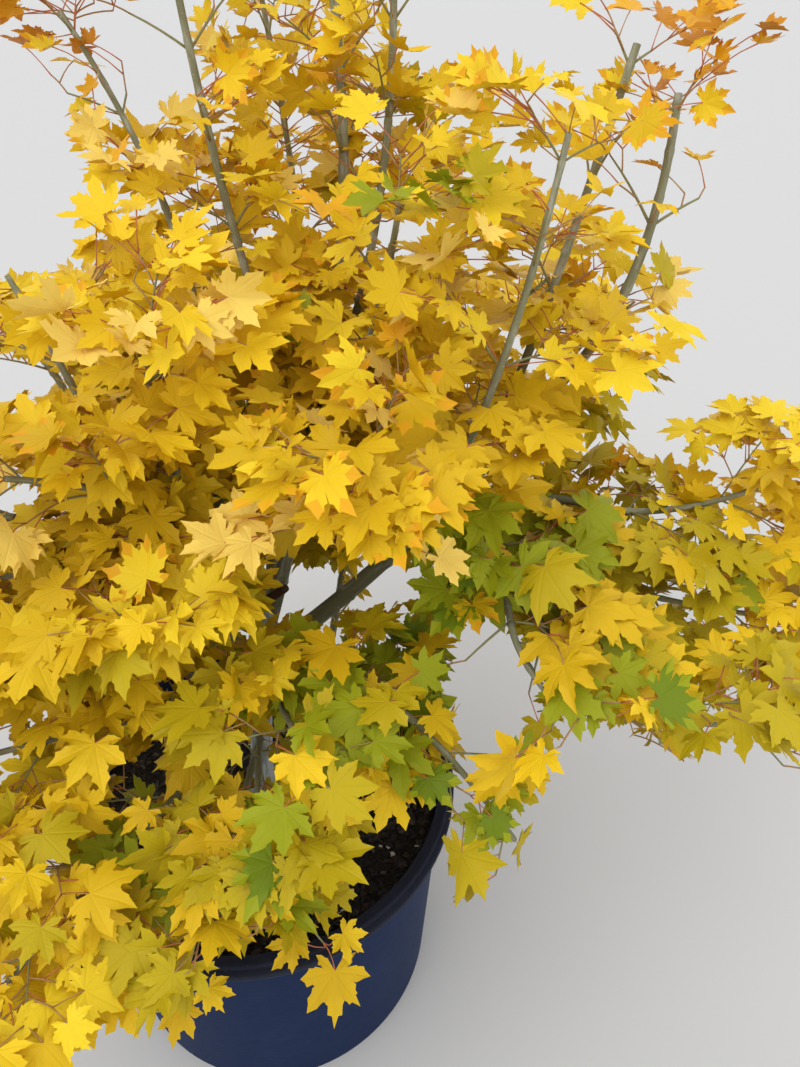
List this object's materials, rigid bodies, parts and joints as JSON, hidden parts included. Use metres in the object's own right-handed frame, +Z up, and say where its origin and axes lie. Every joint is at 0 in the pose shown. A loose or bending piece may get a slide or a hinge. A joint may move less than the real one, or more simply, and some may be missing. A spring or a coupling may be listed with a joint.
{
  "type": "japanese maple tree in a nursery pot",
  "caption": "Small multi-bough maple with yellow autumn leaves in lobed sprays on spreading boughs, standing in a round black-blue nursery pot of bark mulch.",
  "frame": {"origin": "middle of the pot's flat underside, on the surface that the pot stands on", "axes": "+Z up along the pot's axis and the trunk; -Y towards the front, where the plant is seen from; +X to the plant's right as seen from the front"},
  "size_m": [1.7298, 1.5078, 1.924],
  "materials": {
    "pot_plastic": "satin",
    "bark_mulch": "matte",
    "trunk_bark": "matte",
    "bough_bark": "satin",
    "dead_wood": "matte",
    "leaves": "matte"
  },
  "bodies": {
    "root": {"back_bough": "bough_bark", "back_left_bough": "bough_bark", "back_right_bough": "bough_bark", "centre_bough": "bough_bark", "centre_front_bough": "bough_bark", "centre_top_bough": "bough_bark", "dead_stub": "dead_wood", "front_right_bough": "bough_bark", "leaves_back": "leaves", "leaves_back_left": "leaves", "leaves_back_low": "leaves", "leaves_back_right": "leaves", "leaves_centre_front": "leaves", "leaves_centre_inner": "leaves", "leaves_centre_left": "leaves", "leaves_centre_low": "leaves", "leaves_centre_top": "leaves", "leaves_front_left": "leaves", "leaves_front_low": "leaves", "leaves_front_middle": "leaves", "leaves_front_right": "leaves", "leaves_left_face": "leaves", "leaves_left_front": "leaves", "leaves_left_inner": "leaves", "leaves_left_low": "leaves", "leaves_left_middle": "leaves", "leaves_left_outer": "leaves", "leaves_left_rear": "leaves", "leaves_lower_right": "leaves", "leaves_right_hanging": "leaves", "leaves_right_inner_top": "leaves", "leaves_right_lateral": "leaves", "leaves_right_middle": "leaves", "leaves_right_outer_top": "leaves", "leaves_right_under": "leaves", "leaves_top_back": "leaves", "leaves_top_left": "leaves", "leaves_top_rear": "leaves", "leaves_top_right": "leaves", "leaves_upper_left": "leaves", "left_bough": "bough_bark", "left_inner_bough": "bough_bark", "left_low_bough": "bough_bark", "left_middle_bough": "bough_bark", "left_rear_bough": "bough_bark", "pot": "pot_plastic", "right_bough": "bough_bark", "right_hanging_bough": "bough_bark", "right_inner_bough": "bough_bark", "right_lateral_bough": "bough_bark", "right_low_bough": "bough_bark", "right_middle_bough": "bough_bark", "right_under_bough": "bough_bark", "second_stem": "trunk_bark", "soil": "bark_mulch", "top_left_bough": "bough_bark", "top_rear_bough": "bough_bark", "top_right_bough": "bough_bark", "trunk": "trunk_bark", "upper_left_bough": "bough_bark"}
  },
  "joints": []
}
